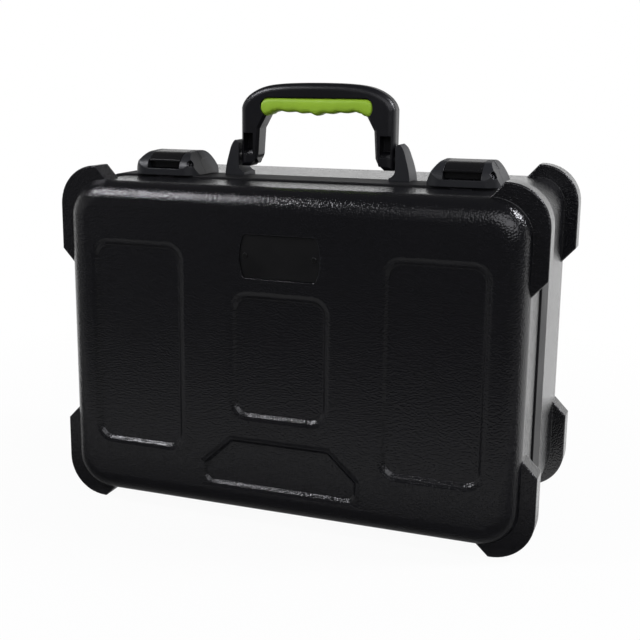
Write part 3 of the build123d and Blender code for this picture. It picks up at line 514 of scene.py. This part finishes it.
# %% Give each solid its finish
FINISHES = [
    (SHELL_PLASTIC, ["lid_shell", "base_shell"]),
    (RIM_PLASTIC, ["base_rim", "lid_rim"]),
    # The handle brackets take the paler latch nylon, not the handle's: painted light that lifts their
    # shaded fronts.
    (LATCH_PLASTIC, ["latch_housing", "handle_bracket"]),
    (LEVER_PLASTIC, ["latch_lever"]),
    (HANDLE_PLASTIC, ["handle_bow"]),
    (PLATE_PAINT, ["name_plate"]),
    (RIVET_PAINT, ["name_plate_rivets"]),
    (BLACK_STEEL, ["latch_keeper", "hinge_lid_leaf", "hinge_base_leaf"]),
    (ZINC_STEEL, ["latch_pin", "latch_spring", "handle_pin", "hinge_pin"]),
    (ZINC_STEEL, ["latch_screws", "bracket_screws", "keeper_screws"]),
    (ZINC_STEEL, ["base_hinge_rivets", "lid_hinge_rivets"]),
    (LOCK_METAL_AND_KEYHOLE_SHADE, ["lock_cylinder"]),
    (SEAL_RUBBER, ["rim_seal"]),
    (GRIP_RUBBER, ["handle_grip"]),
    (FOAM, ["foam_", "lid_foam"]),
]

dressed = set()
for material, starts in FINISHES:
    for name, node in nodes.items():
        if name.startswith(tuple(starts)):
            node.data.materials.clear()
            node.data.materials.append(material)
            dressed.add(name)
print("dressed:", len(dressed), "left:", sorted(set(nodes) - dressed))

# %% [markdown]
# ## The soft grip
# The grip is moulded round the bar of the handle: flat on top under the bar's edge, round at
# both ends, and waved below so that each finger finds its place. It could be sculpted, but an
# outline is easier to match to the real one, so that comes first, as seen from the front. The
# wave is a few heights with soft steps between them.

# %% Grip outline
GRIP_HALF = 0.0537
GRIP_FLAT_HALF = 0.0472
GRIP_TOP = 0.3810
GRIP_TIP = 0.3728
GRIP_FRONT = behind_front(88.5)
GRIP_REAR = behind_front(110.5)
WAVE = [(0.0, 0.3645), (0.0071, 0.3668), (0.0142, 0.3663), (0.0210, 0.3677), (0.0279, 0.3672),
        (0.0362, 0.3684), (0.0411, 0.3672), (0.0455, 0.3650), (0.0489, 0.3636)]
WAVE_X, WAVE_Z = np.array(WAVE).T


def wave_height(x):
    """Height of the waved underside at this distance from the middle."""
    x = min(abs(x), WAVE_X[-1])
    index = int(np.clip(np.searchsorted(WAVE_X, x) - 1, 0, len(WAVE_X) - 2))
    share = (x - WAVE_X[index]) / (WAVE_X[index + 1] - WAVE_X[index])
    ease = (1 - math.cos(math.pi * share)) / 2
    return float(WAVE_Z[index] * (1 - ease) + WAVE_Z[index + 1] * ease)


def round_end(x, straight_half):
    """Falls from 1 to 0 as a quarter circle between the straight part and the end."""
    past = max(0.0, abs(x) - straight_half) / (GRIP_HALF - straight_half)
    return math.sqrt(max(0.0, 1 - past ** 2))


def grip_span(x):
    """Lowest and highest point of the grip's outline at this X."""
    high = GRIP_TIP + (GRIP_TOP - GRIP_TIP) * round_end(x, GRIP_FLAT_HALF)
    low = GRIP_TIP - (GRIP_TIP - wave_height(x)) * round_end(x, WAVE_X[-1])
    return low, high


print("grip in the middle:", [round(z, 4) for z in grip_span(0)])

# %% [markdown]
# The grip is then a row of rounded cross-sections along the bar, each as tall as the outline
# is there, skinned into one mesh. The sections crowd toward the ends, where they change
# fastest.

# %% Skin the grip
GRIP_SQUARENESS = 3.4
LEAST_HALF_HEIGHT = 0.0002
END_WIDTH_SHARE = 0.55
WIDENING_HEIGHT = 0.012


def superellipse(angle, power):
    c, s = math.cos(angle), math.sin(angle)
    return math.copysign(abs(c) ** (2 / power), c), math.copysign(abs(s) ** (2 / power), s)


def build_grip(sections=180, around=48):
    mesh = bmesh.new()
    rings = []
    middle_y, half_y = (GRIP_FRONT + GRIP_REAR) / 2, (GRIP_REAR - GRIP_FRONT) / 2
    for number in range(sections + 1):
        x = -GRIP_HALF * math.cos(math.pi * number / sections)
        low, high = grip_span(x)
        middle_z, half_z = (low + high) / 2, max(LEAST_HALF_HEIGHT, (high - low) / 2)
        squeeze = min(1.0, END_WIDTH_SHARE + half_z / WIDENING_HEIGHT)
        ring = []
        for step in range(around):
            v, w = superellipse(2 * math.pi * step / around, GRIP_SQUARENESS)
            ring.append(mesh.verts.new((x, middle_y + v * half_y * squeeze, middle_z + w * half_z)))
        rings.append(ring)
    for first, second in zip(rings, rings[1:]):
        for step in range(around):
            after = (step + 1) % around
            mesh.faces.new((first[step], first[after], second[after], second[step]))
    mesh.faces.new(rings[0][::-1])
    mesh.faces.new(rings[-1])
    bmesh.ops.recalc_face_normals(mesh, faces=mesh.faces)
    return mesh


grip_mesh = build_grip()
print("grip mesh:", len(grip_mesh.verts), "vertices")

# %% [markdown]
# A mesh becomes a piece of the case once it has a finish and rides with one of the bodies
# that move. The grip takes the place of the plainer solid one.

# %% The grip as a piece
def add_object(name, mesh):
    """Turn a bmesh into an object of the scene."""
    data = bpy.data.meshes.new(name)
    mesh.to_mesh(data)
    mesh.free()
    made = bpy.data.objects.new(name, data)
    bpy.context.scene.collection.objects.link(made)
    return made


def shade_smooth(piece):
    for face in piece.data.polygons:
        face.use_smooth = True


def soft_piece(name, mesh, material, body):
    piece = add_object(name, mesh)
    shade_smooth(piece)
    piece.data.materials.append(material)
    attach(piece, body)
    return piece


grip = soft_piece("soft_grip", grip_mesh, GRIP_RUBBER, "handle")
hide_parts("handle_grip")
print("grip:", len(grip.data.vertices), "vertices, length", round(2 * GRIP_HALF * 1000), "mm")

# %% [markdown]
# ## Foam with a slot for each microphone
# Cut foam has soft lips: the knife pulls the skin in at every edge. Joining the plain bars
# and blocks into one voxel mesh and relaxing it gives one piece of foam with rounded lips
# round all the slots. A last step pulls the skin in a little, to clear the shell.

# %% Base foam
FOAM_VOXEL = 0.0035
RELAX_ROUNDS = 6
FOAM_INSET = 0.0002
BASE_FOAM_NODES = ["foam_rails", "foam_dividers", "foam_floor"]


def relaxed_foam(sources, name, body):
    joined = bmesh.new()
    for source in sources:
        joined.from_mesh(nodes[source].data)
    piece = add_object(name, joined)
    piece.data.materials.clear()
    piece.data.materials.append(FOAM)
    remesh = piece.modifiers.new("one skin", "REMESH")
    remesh.mode = "VOXEL"
    remesh.voxel_size = FOAM_VOXEL
    relax = piece.modifiers.new("soft lips", "SMOOTH")
    relax.factor = 0.5
    relax.iterations = RELAX_ROUNDS
    shrink = piece.modifiers.new("room round it", "DISPLACE")
    shrink.strength = -FOAM_INSET
    shrink.mid_level = 0.0
    graph = bpy.context.evaluated_depsgraph_get()
    baked = bpy.data.meshes.new_from_object(piece.evaluated_get(graph))
    piece.modifiers.clear()
    piece.data = baked
    shade_smooth(piece)
    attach(piece, body)
    return piece


base_foam = relaxed_foam(BASE_FOAM_NODES, "slotted_foam", "base")
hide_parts(*BASE_FOAM_NODES)
print("base foam:", len(base_foam.data.vertices), "vertices")

# %% [markdown]
# ## Egg-crate foam in the lid
# The lid's foam has rows of soft peaks that press on the microphones. A formula gives them
# more evenly than sculpting would: the face is a grid pushed up and down by a product of two
# waves, and near its border it drops a little more. The slab's corners are round, so grid
# points outside them are pulled in.

# %% Lid foam face
PEAK_PITCH = 0.036
PEAK_HEIGHT = 0.012
FACE_CLEARANCE = 0.0005
SLAB_CORNER = 0.027
BORDER_WIDTH = 0.012
BORDER_DROP = 0.004


def inside_corner(x, z, half_x, half_z):
    """Pull a point of the grid inside the rounded corners of the slab."""
    over_x, over_z = abs(x) - (half_x - SLAB_CORNER), abs(z) - (half_z - SLAB_CORNER)
    if over_x <= 0 or over_z <= 0:
        return x, z
    share = max(over_x, over_z) / math.hypot(over_x, over_z)
    return (math.copysign(half_x - SLAB_CORNER + over_x * share, x),
            math.copysign(half_z - SLAB_CORNER + over_z * share, z))


def face_drop(x, z, half_x, half_z):
    """How far the foam's face lies below its highest plane."""
    wave = math.cos(2 * math.pi * x / PEAK_PITCH) * math.cos(2 * math.pi * z / PEAK_PITCH)
    near_edge = min(1.0, min(half_x - abs(x), half_z - abs(z)) / BORDER_WIDTH)
    return PEAK_HEIGHT * (0.5 - 0.5 * wave) + BORDER_DROP * (1 - near_edge) ** 2


print("egg-crate pitch", PEAK_PITCH * 1000, "mm, height", PEAK_HEIGHT * 1000, "mm")

# %% [markdown]
# Three skirts close the slab: each follows the border of the grid, a step deeper and drawn in
# a little.

# %% Lid foam
GRID_STEP = 0.004
SKIRTS = ((0.010, 1.0), (0.003, 0.985), (0.0, 0.95))


def build_lid_foam():
    low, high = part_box("lid_foam")
    back_y, face_y = low.y, high.y - FACE_CLEARANCE
    half_x, half_z = (high.x - low.x) / 2, (high.z - low.z) / 2
    middle_z = (high.z + low.z) / 2
    columns, rows = round(2 * half_x / GRID_STEP), round(2 * half_z / GRID_STEP)
    mesh = bmesh.new()
    grid = {}
    for i in range(columns + 1):
        for j in range(rows + 1):
            x, z = -half_x + 2 * half_x * i / columns, -half_z + 2 * half_z * j / rows
            x, z = inside_corner(x, z, half_x, half_z)
            grid[i, j] = mesh.verts.new((x, face_y - face_drop(x, z, half_x, half_z), z + middle_z))
    for i in range(columns):
        for j in range(rows):
            mesh.faces.new((grid[i, j], grid[i, j + 1], grid[i + 1, j + 1], grid[i + 1, j]))
    border = [(i, 0) for i in range(columns)] + [(columns, j) for j in range(rows)]
    border += [(i, rows) for i in range(columns, 0, -1)] + [(0, j) for j in range(rows, 0, -1)]
    loop = [grid[key] for key in border]
    for depth, shrink in SKIRTS:
        below = []
        for top in (grid[key].co for key in border):
            z = middle_z + (top.z - middle_z) * shrink
            below.append(mesh.verts.new((top.x * shrink, back_y + depth, z)))
        for k in range(len(loop)):
            after = (k + 1) % len(loop)
            mesh.faces.new((loop[k], loop[after], below[after], below[k]))
        loop = below
    mesh.faces.new(loop)
    bmesh.ops.recalc_face_normals(mesh, faces=mesh.faces)
    return mesh


lid_foam = soft_piece("egg_crate_foam", build_lid_foam(), FOAM, "lid")
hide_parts("lid_foam")
print("lid foam:", len(lid_foam.data.vertices), "vertices")

# %% [markdown]
# ## Floor
# The case stands on a plain pale floor in a white studio. Black plastic shows almost nothing
# of its own colour: what the eye sees is the room mirrored in it. The top and the right side
# are seen at a low angle, so they mirror the white wall behind and turn grey, while the front
# faces the dim side of the room and stays black.
#
# Seen by the camera, the floor is nearly the white of the wall, so there is no horizon. Near
# the case a twentieth of its own shading is left, which gives a faint soft shadow. Seen in a
# mirror, it is white behind the case and dim in front, but for a soft strip just ahead that
# shows in the panel edges.

# %% Floor
WHITE = (1.0, 1.0, 1.0, 1.0)
FLOOR_HALF_WIDTH, FLOOR_NEAR, FLOOR_FAR = 3.0, -0.90, 4.0
FLOOR_PAINT = (0.88, 0.88, 0.88, 1)
FADE_REACH = (0.20, 0.80)
LEAST_WHITE = 0.95
MIRROR_SHARE = 0.99
DIM_FLOOR = 0.045
BRIGHT_BEHIND = (-0.12, 0.05)
STRIP_GLOW = 0.26
STRIP_REAR = (-0.18, -0.24)
STRIP_FRONT = (-0.58, -0.34)


def floor_share(tree, place, paths):
    """How much of the floor's shading gives way to plain white or to what mirrors see."""
    away = calculate_vector(tree, "LENGTH", place)
    near_white = between(tree, away, *FADE_REACH, LEAST_WHITE, 1.0)
    by_eye = calculate(tree, "MULTIPLY", near_white, paths["Is Camera Ray"])
    glossy, through = paths["Is Glossy Ray"], paths["Is Transmission Ray"]
    mirrored = calculate(tree, "ADD", glossy, through, clamp=True)
    by_mirror = calculate(tree, "MULTIPLY", mirrored, MIRROR_SHARE)
    return calculate(tree, "ADD", by_eye, by_mirror, clamp=True)


def floor_glow(tree, place, paths):
    """Brightness of the floor: white by eye, and by depth in a mirror."""
    depth = add_node(tree, "ShaderNodeSeparateXYZ", {0: place}).outputs["Y"]
    behind = between(tree, between(tree, depth, *BRIGHT_BEHIND), 0.0, 1.0, DIM_FLOOR, 1.0)
    rear, front = between(tree, depth, *STRIP_REAR), between(tree, depth, *STRIP_FRONT)
    strip = calculate(tree, "MULTIPLY", rear, front)
    in_mirror = calculate(tree, "ADD", behind, calculate(tree, "MULTIPLY", strip, STRIP_GLOW))
    return calculate(tree, "MAXIMUM", in_mirror, paths["Is Camera Ray"])


def build_floor():
    mesh = bmesh.new()
    left, right = -FLOOR_HALF_WIDTH, FLOOR_HALF_WIDTH
    corners = [(left, FLOOR_NEAR), (right, FLOOR_NEAR), (right, FLOOR_FAR), (left, FLOOR_FAR)]
    mesh.faces.new([mesh.verts.new((x, y, 0.0)) for x, y in corners])
    floor = add_object("studio_floor", mesh)
    material, tree, surface = start_material("studio floor")
    surface.inputs["Base Color"].default_value = FLOOR_PAINT
    surface.inputs["Roughness"].default_value = 0.9
    place = object_place(tree)
    paths = add_node(tree, "ShaderNodeLightPath").outputs
    inputs = {"Color": WHITE, "Strength": floor_glow(tree, place, paths)}
    white = add_node(tree, "ShaderNodeEmission", inputs).outputs[0]
    inputs = {0: floor_share(tree, place, paths), 1: surface.outputs[0], 2: white}
    both = add_node(tree, "ShaderNodeMixShader", inputs).outputs[0]
    tree.links.new(both, tree.nodes["Material Output"].inputs["Surface"])
    floor.data.materials.append(material)
    return floor


floor = build_floor()
print("floor:", [round(size, 1) for size in floor.dimensions], "m")

# %% [markdown]
# ## World
# The room has a white wall behind the case and a paler one at the far left, and is dim in
# front and overhead. The camera always sees white. A picture of a real room could do this
# too, but three ranges of direction are easier to adjust.

# %% World
ROOM_GLOW = 0.06
LEFT_WALL_GLOW = 0.4
WALL_BEHIND = (-0.15, 0.30)
WALL_TOP = (0.45, 0.15)
LEFT_WALL = (-0.55, -0.85)


def build_world():
    world = bpy.data.worlds.new("white studio")
    bpy.context.scene.world = world
    world.use_nodes = True
    tree = world.node_tree
    tree.nodes.clear()
    direction = add_node(tree, "ShaderNodeTexCoord").outputs["Generated"]
    parts = add_node(tree, "ShaderNodeSeparateXYZ", {0: direction}).outputs
    behind = between(tree, parts["Y"], *WALL_BEHIND)
    low = between(tree, parts["Z"], *WALL_TOP)
    left = between(tree, parts["X"], *LEFT_WALL, 0.0, LEFT_WALL_GLOW)
    wall = calculate(tree, "MULTIPLY", calculate(tree, "MAXIMUM", behind, left), low)
    strength = between(tree, wall, 0.0, 1.0, ROOM_GLOW, 1.0)
    by_eye = add_node(tree, "ShaderNodeLightPath").outputs["Is Camera Ray"]
    seen = add_node(tree, "ShaderNodeBackground", {"Color": WHITE, "Strength": 1.0})
    room = add_node(tree, "ShaderNodeBackground", {"Color": WHITE, "Strength": strength})
    inputs = {0: by_eye, 1: room.outputs[0], 2: seen.outputs[0]}
    choice = add_node(tree, "ShaderNodeMixShader", inputs)
    add_node(tree, "ShaderNodeOutputWorld", {"Surface": choice.outputs[0]})
    return world


print("world:", build_world().name)

# %% [markdown]
# ## Lamps
# A small box high at the left draws the sparkling line along the top edge, another high at the
# right lights the corner and the side, and a large weak one in front fills the rest. They are
# area lamps, because gloss shows a lamp's shape and a point would be too hard.

# %% Lamps
LAMP_COLOUR = (0.95, 0.95, 1.0)


def softbox(name, place, aim, size, power):
    lamp = bpy.data.lights.new(name, "AREA")
    lamp.shape = "RECTANGLE"
    lamp.size, lamp.size_y = size
    lamp.energy = power
    lamp.color = LAMP_COLOUR
    holder = bpy.data.objects.new(name, lamp)
    bpy.context.scene.collection.objects.link(holder)
    holder.location = place
    holder.rotation_euler = (Vector(aim) - Vector(place)).to_track_quat("-Z", "Y").to_euler()
    return holder


lamps = [
    softbox("left_softbox", place=(-0.66, -0.56, 1.00), aim=(-0.1, 0, 0.28), size=(0.26, 0.26), power=5.0),
    softbox("right_softbox", place=(1.20, 0.27, 1.27), aim=(0, 0, 0.25), size=(0.34, 0.34), power=16),
    softbox("front_softbox", place=(0.9, -1.7, 1.3), aim=(0, 0, 0.2), size=(2.0, 1.2), power=15),
]
print("lamps:", [lamp.name for lamp in lamps])

# %% [markdown]
# ## Camera
# The picture was taken from the right of the case and a little above it, from about a metre
# away. The lens and the angles come from fitting the case's own straight edges to the picture.

# %% Camera
FOCAL_PIXELS = 1100.0
IMAGE_PIXELS = 640.0
OPTICAL_CENTRE = (278.4, 307.4)
YAW, PITCH, ROLL = (math.radians(angle) for angle in (21.38, 12.17, 0.23))
EYE = Vector((0.3370, -0.8611 - CASE_DEPTH / 2, 0.4050))


def camera_turn():
    """The camera's axes, from how far it is turned, tilted down and rolled."""
    level = math.cos(PITCH)
    ahead = Vector((-math.sin(YAW) * level, math.cos(YAW) * level, -math.sin(PITCH)))
    right = Vector((math.cos(YAW), math.sin(YAW), 0))
    up = right.cross(ahead)
    rolled_right = right * math.cos(ROLL) + up * math.sin(ROLL)
    rolled_up = up * math.cos(ROLL) - right * math.sin(ROLL)
    return Matrix((rolled_right, rolled_up, -ahead)).transposed().to_4x4()


def build_camera():
    data = bpy.data.cameras.new("photo_camera")
    data.sensor_width = 36.0
    data.lens = data.sensor_width * FOCAL_PIXELS / IMAGE_PIXELS
    data.shift_x = (IMAGE_PIXELS / 2 - OPTICAL_CENTRE[0]) / IMAGE_PIXELS
    data.shift_y = (OPTICAL_CENTRE[1] - IMAGE_PIXELS / 2) / IMAGE_PIXELS
    data.clip_start = 0.05
    camera = bpy.data.objects.new("photo_camera", data)
    bpy.context.scene.collection.objects.link(camera)
    camera.matrix_world = Matrix.Translation(EYE) @ camera_turn()
    return camera


camera = build_camera()
bpy.context.scene.camera = camera
bpy.context.scene.view_settings.view_transform = "Standard"
print("camera:", [round(v, 3) for v in camera.location], "lens", round(camera.data.lens, 1), "mm")
